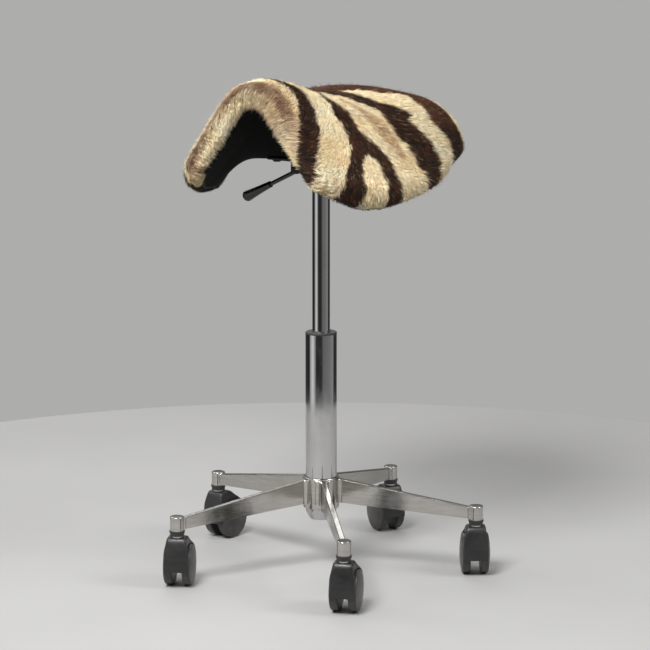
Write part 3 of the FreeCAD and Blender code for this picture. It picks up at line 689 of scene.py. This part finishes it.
def hair_colour(outline, points, normals, stray=0.0):
    """Colour of the hair that shows at points."""
    wander = drift(points, *EDGE_WANDER) + drift(points, *EDGE_FRAY) + stray
    way_round, along = chart(points)
    depth = np.maximum(depth_within(outline, points) - FACE_DEPTH, 0.0)
    along = along - front_face(points, normals) * depth + wander
    dark, shade, rusty = stripes(points, way_round, along, wander)
    on_rim = points[:, 1] < BAND_START
    turn = np.degrees(np.arctan2(points[:, 0], points[:, 2] - TURN_HEIGHT))
    turns, *columns = zip(*FACE_BAND)
    centre, half, strength = (np.interp(turn, turns, column) for column in columns)
    band = strength * ramp(half - np.abs(along - centre), -BAND_SOFT, BAND_SOFT) * on_rim
    band *= drift(points, *BAND_NOISE)
    warm = on_rim * ramp(turn, *WARM_COMES) * (1.0 - ramp(turn, *WARM_GOES)) * WARM
    light = blend(CREAM, PALE, np.clip(drift(points, *PALE_NOISE), 0.0, 1.0))
    light = blend(light, TAN, np.clip(warm + drift(points, *TAN_NOISE), 0.0, 1.0))
    light = blend(light, TAN, shade * drift(points, *SHADE_NOISE))
    light = blend(light, MAUVE, np.clip(band, 0.0, 1.0))
    deep = blend(DARK, RUST, np.clip(drift(points, *RUST_NOISE) + rusty, 0.0, 1.0))
    colours = blend(light, deep, np.clip(dark, 0.0, 1.0))
    # hide that faces down under the seat is painted black as shade
    return blend(colours, PAINTED_SHADE_BLACK, underside_shade(points, normals))


def hair_ways(points, normals, face, draw):
    """Direction in which each hair lies."""
    way_round, along = chart(points)
    places = np.array([row[:2] for row in LIE], dtype=float)
    turns = np.radians([row[2] for row in LIE])
    apart = (((way_round[:, None] - places[None, :, 0]) * LIE_ROUND) ** 2
             + (along[:, None] - places[None, :, 1]) ** 2)
    weight = 1.0 / (apart + LIE_ADDED) ** LIE_POWER
    weight /= weight.sum(axis=1, keepdims=True)
    turn = np.arctan2(weight @ np.sin(turns), weight @ np.cos(turns))
    turn += (drift(points, *LIE_WANDER) + drift(points, *LIE_FRAY)
             + draw.normal(*LIE_SPREAD, len(points)))
    # at the crest it runs along the spine, so that it has no parting
    side = np.clip(points[:, 0] / CREST_HALF, -1.0, 1.0)
    level = np.zeros(len(points))
    down = flattened(np.stack([side, level, -np.abs(side) - LEAST_DOWN], axis=1), normals)
    back = flattened(np.tile((0.0, 1.0, 0.0), (len(points), 1)), normals)
    sharpness, border = CREST_TURNS
    along_crest = (1.0 - np.abs(side)) * np.tanh(sharpness * (np.sin(turn) - border))
    way = (down * (np.cos(turn) * np.abs(side))[:, None]
           + back * (np.sin(turn) + along_crest)[:, None])
    # on the front face it runs across the rim into the arch
    middle = np.where(points[:, 0] >= 0.0, *INTO_ARCH)
    inward = flattened(np.stack([-points[:, 0], level, middle - points[:, 2]], axis=1), normals)
    sway = drift(points, *SWAY_NOISE) + draw.normal(*SWAY_SPREAD, len(points))
    inward = swung(inward, np.cross(normals, inward), sway)
    return flattened(way * (1.0 - face)[:, None] + inward * face[:, None], normals)


def rows(items, field, width):
    """A field of all items of a mesh, with one row an item."""
    values = np.empty(len(items) * width)
    items.foreach_get(field, values)
    return values.reshape(-1, width)


def solid_tree(*names):
    """A tree of the faces of some CAD nodes, for finding the nearest one."""
    spots, faces = [], []
    for name in names:
        mesh = nodes[name].data
        base = len(spots)
        spots += [vertex.co.copy() for vertex in mesh.vertices]
        faces += [[base + index for index in polygon.vertices] for polygon in mesh.polygons]
    return BVHTree.FromPolygons(spots, faces)


def next_to(tree, places, near, far):
    """1 for places nearer to a solid than near, 0 for those beyond far, and between in between."""
    gaps = np.array([tree.find_nearest(Vector(place))[3] for place in places])
    return 1.0 - ramp(gaps, near, far)


# How often the edges of a fine copy are divided at most
DIVISIONS = 7


def fine_copy(node, name, longest):
    """A copy of a CAD node's mesh in triangles, whose long edges are divided."""
    mesh = bmesh.new()
    mesh.from_mesh(node.data)
    bmesh.ops.remove_doubles(mesh, verts=mesh.verts, dist=1e-6)
    bmesh.ops.triangulate(mesh, faces=mesh.faces)
    for _ in range(DIVISIONS):
        long_edges = [side for side in mesh.edges if side.calc_length() > longest]
        if not long_edges:
            break
        bmesh.ops.subdivide_edges(mesh, edges=long_edges, cuts=1)
        bmesh.ops.triangulate(mesh, faces=[face for face in mesh.faces if len(face.verts) > 3])
    data = bpy.data.meshes.new(name)
    mesh.to_mesh(data)
    mesh.free()
    return put(name, data)


def paint(mesh, colours):
    """Stores one colour a vertex."""
    layer = mesh.color_attributes.new(COLOUR_LAYER, "FLOAT_COLOR", "POINT")
    values = np.ones((len(mesh.vertices), 4))
    values[:, :3] = np.clip(colours, 0.0, 1.0)
    layer.data.foreach_set("color", values.ravel())
    mesh.color_attributes.active_color = layer


# The longest edges of the fine copies of the hide and the foam
SKIN_EDGE = 0.0045
FOAM_EDGE = 0.03
# The skin under the hair is darkened as painted shade of the hair over it. Nearer to the underside cover
# than the first it is painted black as shade, and beyond the second it isn't
SKIN_SHADE_UNDER_HAIR = 0.7
SKIN_SHADE_NEAR_COVER = (0.002, 0.005)
# A face is outside when it is this far out from the solids within the hide
OUTSIDE_GAP = 0.0006
# The share that a face inside still has in the normals of its corners
INSIDE_SHARE = 0.02
# A place whose normal points down more than this is on the underside, where hair is thin and short
UNDER = -0.35
UNDER_SHARE = 0.6

HAIR_COUNT = 92000
HAIR_PIECE = 23000
CLUMP_COUNT = 9000
# Middle, spread, least and most, in metres, and of the rise in degrees from the hide
HAIR_LENGTH = (0.0125, 0.0022, 0.006, 0.018)
HAIR_WIDTH = (0.00062, 0.00012, 0.0003, 0.001)
HAIR_RISE = (15.0, 4.0, 5.0, 28.0)
# Middle and spread: the fall of the outer half in degrees and its bend aside in radians, how bright
# a hair and a clump are, and how far in millimetres a hair's place in the pattern is off
HAIR_FALL = (13.0, 4.0)
HAIR_BEND = (0.0, 0.12)
HAIR_TINT = (1.0, 0.12)
CLUMP_TINT = (1.0, 0.08)
HAIR_MISPLACED = (0.0, 1.2)
# Hair nearer to the underside cover than the first is painted black as shade, and beyond the second it isn't
HAIR_SHADE_NEAR_COVER = (0.0012, 0.003)
# How much longer the hair is on the front face
FACE_LENGTH = 1.1
# How far along a hair the place lies where its colour is taken from the pattern
HAIR_SEEN = 0.6
# The share of hairs that are paler, and what these keep of their colour and take of the cream one
PALE_HAIRS = 0.03
PALE_MIX = (0.6, 0.25)
# The share of hairs that stand up further, and by how many degrees
STRAY_HAIRS = 0.02
STRAY_RISE = 18.0
# How far a hair's tip is drawn aside to the tip in the middle of its clump, and the share of this
# that its own middle follows
GATHER_TIP = 0.32
GATHER_MIDDLE = 0.4
# A hair's root lies under the skin and is narrower than its middle, and a hair is flatter than wide
ROOT_SUNK = 0.0006
ROOT_WIDE = 0.9
HAIR_THICK = 0.45
# A hair's faces: its foot, three sides up to halfway and three on to the tip. Painted shading at each corner
SPIKE = ((0, 2, 1), (0, 1, 4, 3), (1, 2, 5, 4), (2, 0, 3, 5), (3, 4, 6), (4, 5, 6), (5, 3, 6))
# darker at the root as painted shade, and lighter at the tip as painted light
SPIKE_PAINTED_SHADING = np.array((0.74, 0.74, 0.74, 1.08, 1.08, 1.08, 1.2))
SPIKE_CORNERS = len(SPIKE_PAINTED_SHADING)


class Skin:
    """The hide's mesh as arrays, and which of its faces lie outside."""

    def __init__(self, mesh):
        self.spots = rows(mesh.vertices, "co", 3)
        self.triangles = np.array([tuple(polygon.vertices) for polygon in mesh.polygons])
        self.face_normals = rows(mesh.polygons, "normal", 3)
        self.areas = rows(mesh.polygons, "area", 1)[:, 0]
        centres = rows(mesh.polygons, "center", 3)
        inner = solid_tree("foam_pad", "seat_shell", "underside_cover")
        nearest = np.array([inner.find_nearest(Vector(centre))[0] for centre in centres])
        self.outside = np.sum((centres - nearest) * self.face_normals, axis=1) > OUTSIDE_GAP
        self.outline = front_outline(centres[self.outside] * MM, self.face_normals[self.outside])
        weighed = self.face_normals * (self.areas * (INSIDE_SHARE + self.outside))[:, None]
        normals = np.zeros((len(self.spots), 3))
        for corner in range(3):
            np.add.at(normals, self.triangles[:, corner], weighed)
        self.normals = unit(normals)

    def plant(self, draw):
        """Roots spread over the outside, and the normals there."""
        share = self.areas * self.outside
        share = share * np.where(self.face_normals[:, 2] < UNDER, UNDER_SHARE, 1.0)
        picks = draw.choice(len(share), size=HAIR_COUNT, p=share / share.sum())
        first, second = draw.random(HAIR_COUNT), draw.random(HAIR_COUNT)
        flip = first + second > 1.0
        first[flip], second[flip] = 1.0 - first[flip], 1.0 - second[flip]

        def picked(values):
            start, left, right = (values[self.triangles[picks, corner]] for corner in range(3))
            return start + (left - start) * first[:, None] + (right - start) * second[:, None]

        return picked(self.spots), unit(picked(self.normals))


def varied(draw, middle, spread, least, most):
    """One value a hair, within limits."""
    return draw.normal(middle, spread, HAIR_COUNT).clip(least, most)


def clumps_of(roots, draw):
    """The roots in the middles of clumps, and for each root the number of its clump."""
    middles = draw.choice(len(roots), size=CLUMP_COUNT, replace=False)
    tree = KDTree(CLUMP_COUNT)
    for number, middle in enumerate(middles):
        tree.insert(roots[middle], number)
    tree.balance()
    return middles, np.array([tree.find(root)[1] for root in roots])


def tinted(colours, clumps, draw):
    """Colours that vary from hair to hair and from clump to clump."""
    colours = colours * draw.normal(*HAIR_TINT, HAIR_COUNT)[:, None]
    colours = colours * draw.normal(*CLUMP_TINT, CLUMP_COUNT)[clumps][:, None]
    pale = draw.random(HAIR_COUNT) < PALE_HAIRS
    colours[pale] = colours[pale] * PALE_MIX[0] + CREAM * PALE_MIX[1]
    return colours


def hair_corners(roots, ways, ups, length, middles, clumps, draw):
    """Seven corners a hair, whose tip is drawn aside to its clump's."""
    width = varied(draw, *HAIR_WIDTH)
    rise = np.radians(varied(draw, *HAIR_RISE))
    rise[draw.random(HAIR_COUNT) < STRAY_HAIRS] += np.radians(STRAY_RISE)
    fall = rise - np.radians(draw.normal(*HAIR_FALL, HAIR_COUNT))
    side = np.cross(ups, ways)
    half_length = (0.5 * length)[:, None]
    middle = roots + swung(ways, ups, rise) * half_length
    late = swung(ways, side, draw.normal(*HAIR_BEND, HAIR_COUNT))
    tips = middle + swung(late, ups, fall) * half_length
    gather = GATHER_TIP * (tips[middles][clumps] - tips)
    gather -= ways * np.sum(gather * ways, axis=1, keepdims=True)
    gather -= ups * np.sum(gather * ups, axis=1, keepdims=True)
    middle = middle + GATHER_MIDDLE * gather
    corners = np.empty((HAIR_COUNT, SPIKE_CORNERS, 3))
    for row, place, wide in ((0, roots - ups * ROOT_SUNK, ROOT_WIDE), (3, middle, 1.0)):
        half = side * (0.5 * wide * width)[:, None]
        corners[:, row] = place - half
        corners[:, row + 1] = place + half
        corners[:, row + 2] = place + ups * (HAIR_THICK * wide * width)[:, None]
    corners[:, -1] = tips + gather
    return corners


def spread_hair(name, corners, colours, material):
    """One mesh of closed spikes."""
    strands = len(corners)
    sizes = np.tile([len(face) for face in SPIKE], strands)
    loops = np.array([index for face in SPIKE for index in face])
    loops = (loops[None, :] + SPIKE_CORNERS * np.arange(strands)[:, None]).ravel()
    mesh = bpy.data.meshes.new(name)
    mesh.vertices.add(strands * SPIKE_CORNERS)
    mesh.vertices.foreach_set("co", corners.ravel())
    mesh.loops.add(len(loops))
    mesh.loops.foreach_set("vertex_index", loops)
    mesh.polygons.add(len(sizes))
    mesh.polygons.foreach_set("loop_start", np.concatenate([[0], np.cumsum(sizes)[:-1]]))
    mesh.polygons.foreach_set("loop_total", sizes)
    mesh.update(calc_edges=True)
    # the corners carry painted shade towards the root and painted light towards the tip
    paint(mesh, (colours[:, None, :] * SPIKE_PAINTED_SHADING[None, :, None]).reshape(-1, 3))
    mesh.materials.append(material)
    piece = put(name, mesh)
    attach(piece, "seat")


def make_hair(hide, lining):
    """The hair, in pieces of HAIR_PIECE hairs."""
    draw = np.random.default_rng(SEED)
    roots, ups = hide.plant(draw)
    face = front_face(roots * MM, ups)
    ways = hair_ways(roots * MM, ups, face, draw)
    length = varied(draw, *HAIR_LENGTH)
    length = np.where(ups[:, 2] < UNDER, length * UNDER_SHARE, length)
    length = np.where(face > 0.5, length * FACE_LENGTH, length)
    seen = roots + ways * (HAIR_SEEN * length)[:, None]
    colours = hair_colour(hide.outline, seen * MM, ups, draw.normal(*HAIR_MISPLACED, HAIR_COUNT))
    # hair next to the underside cover is painted black as shade
    colours = blend(colours, PAINTED_SHADE_BLACK, next_to(lining, roots, *HAIR_SHADE_NEAR_COVER))
    middles, clumps = clumps_of(roots, draw)
    colours = tinted(colours, clumps, draw)
    corners = hair_corners(roots, ways, ups, length, middles, clumps, draw)
    material = hair_material("hide_hair", dim=0.86, rough=0.5)
    for number, start in enumerate(range(0, HAIR_COUNT, HAIR_PIECE), 1):
        part = slice(start, start + HAIR_PIECE)
        spread_hair("hide_hair_%d" % number, corners[part], colours[part], material)


def make_hide():
    """The hide's skin with its colours, and the hair on it."""
    skin = fine_copy(nodes["hide_cover"], "hide_skin", SKIN_EDGE)
    hide = Skin(skin.data)
    lining = solid_tree("underside_cover")
    # the skin is darkened as painted shade under the hair, and painted black as shade next to the underside
    # cover
    colours = hair_colour(hide.outline, hide.spots * MM, hide.normals) * SKIN_SHADE_UNDER_HAIR
    paint(skin.data, blend(colours, PAINTED_SHADE_BLACK, next_to(lining, hide.spots, *SKIN_SHADE_NEAR_COVER)))
    smooth(skin.data)
    skin.data.materials.append(hair_material("hide_skin_hair", dim=0.7, rough=0.6))
    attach(skin, "seat")
    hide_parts("hide_cover")
    make_hair(hide, lining)


def make_foam():
    """The foam in the pad, which the hide hides."""
    piece = fine_copy(nodes["foam_pad"], "foam_filling", FOAM_EDGE)
    piece.data.materials.append(foam())
    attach(piece, "seat")
    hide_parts("foam_pad")


# Floor, world and lamps

FLOOR_RADIUS = 1.25
FLOOR_SIDES = 180
FLOOR_HEIGHT = -0.0005
# The colour that the camera sees in place of the world
BACKDROP = (0.42, 0.418, 0.41, 1.0)
WORLD_STRENGTH = 0.5
# Brightness of the walls: (turn from the camera's side in degrees, + to its right, level)
WALLS = ((-180, 0.36), (-160, 0.34), (-140, 0.08), (-95, 0.05), (-82, 1.2), (-62, 1.9), (-48, 0.9),
         (-36, 0.06), (4, 0.08), (16, 0.38), (60, 0.5), (95, 0.7), (112, 0.06), (140, 0.08), (160, 0.34),
         (180, 0.36))
CEILING = 0.9
# How far up a direction points, between 0 and 1, where the ceiling starts and where it is full
CEILING_RISE = (0.25, 0.75)
# Each lamp: name, turn from the stool's front in degrees, height, distance, size and watts
LAMPS = (("key", 14.0, 2.6, 2.0, 1.1, 112.0),
         ("side", 108.0, 2.0, 2.4, 1.2, 34.0),
         ("back", 235.0, 2.4, 2.4, 2.2, 22.0),
         ("far", 300.0, 1.9, 2.6, 1.4, 16.0))
LAMP_AIM = Vector((0.0, 0.0, 0.45))


def make_floor():
    """A plain pale floor."""
    mesh = bpy.data.meshes.new("floor")
    turns = np.linspace(0.0, 2.0 * math.pi, FLOOR_SIDES, endpoint=False)
    rim = [(FLOOR_RADIUS * math.cos(turn), FLOOR_RADIUS * math.sin(turn), 0.0) for turn in turns]
    mesh.from_pydata(rim, [], [range(FLOOR_SIDES)])
    make = Maker("pale_floor")
    faint = make.noise(1.3, 4.0)
    colour = make.between(faint, 0.3, 0.7, tone(0.36, 0.357, 0.349), tone(0.40, 0.397, 0.388))
    mesh.materials.append(make.finished(Base_Color=colour, Roughness=0.75))
    floor = put("floor", mesh)
    floor.location.z = FLOOR_HEIGHT


def make_world():
    """Pale and dark walls under a bright ceiling, which light the stool and show in its metal.

    The camera sees a plain backdrop in their place.
    """
    world = bpy.data.worlds.new("studio")
    bpy.context.scene.world = world
    world.use_nodes = True
    make = Graph(world.node_tree)
    way = make.add("ShaderNodeTexCoord").outputs["Generated"]
    up = make.add("ShaderNodeSeparateXYZ", {0: way}).outputs["Z"]
    to_camera = (0.0, 0.0, math.radians(90.0 - VIEW_AZIMUTH))
    aside = make.add("ShaderNodeMapping", {"Vector": way, "Rotation": to_camera})
    flat = make.add("ShaderNodeSeparateXYZ", {0: aside.outputs[0]})
    turn = make.math("ARCTAN2", flat.outputs["Y"], flat.outputs["X"])
    walls = make.add("ShaderNodeValToRGB", {"Fac": make.spread(turn, -math.pi, math.pi)})
    elements = walls.color_ramp.elements
    while len(elements) < len(WALLS):
        elements.new(0.5)
    for element, (place, level) in zip(elements, WALLS):
        element.position = (place + 180.0) / 360.0
        element.color = tone(level)
    room = world.node_tree.nodes["Background"]
    colour = make.mix(make.spread(up, *CEILING_RISE), walls.outputs["Color"], tone(CEILING))
    make.feed(room.inputs["Color"], colour)
    make.feed(room.inputs["Strength"], WORLD_STRENGTH)
    plain = make.add("ShaderNodeBackground", {"Color": BACKDROP})
    seen = make.add("ShaderNodeLightPath").outputs["Is Camera Ray"]
    either = make.add("ShaderNodeMixShader", {0: seen, 1: room.outputs[0], 2: plain.outputs[0]})
    make.feed(world.node_tree.nodes["World Output"].inputs["Surface"], either.outputs[0])


def add_lamps():
    for name, azimuth, height, distance, size, watts in LAMPS:
        data = bpy.data.lights.new(name, "AREA")
        data.shape = "DISK"
        data.size = size
        data.energy = watts
        lamp = put(name, data)
        turn = math.radians(azimuth)
        lamp.location = (math.sin(turn) * distance, -math.cos(turn) * distance, height)
        lamp.rotation_euler = (LAMP_AIM - lamp.location).to_track_quat("-Z", "Y").to_euler()


bpy.context.scene.view_settings.view_transform = "Standard"
add_camera()
dress_cad_nodes()
make_hide()
make_foam()
make_floor()
make_world()
add_lamps()
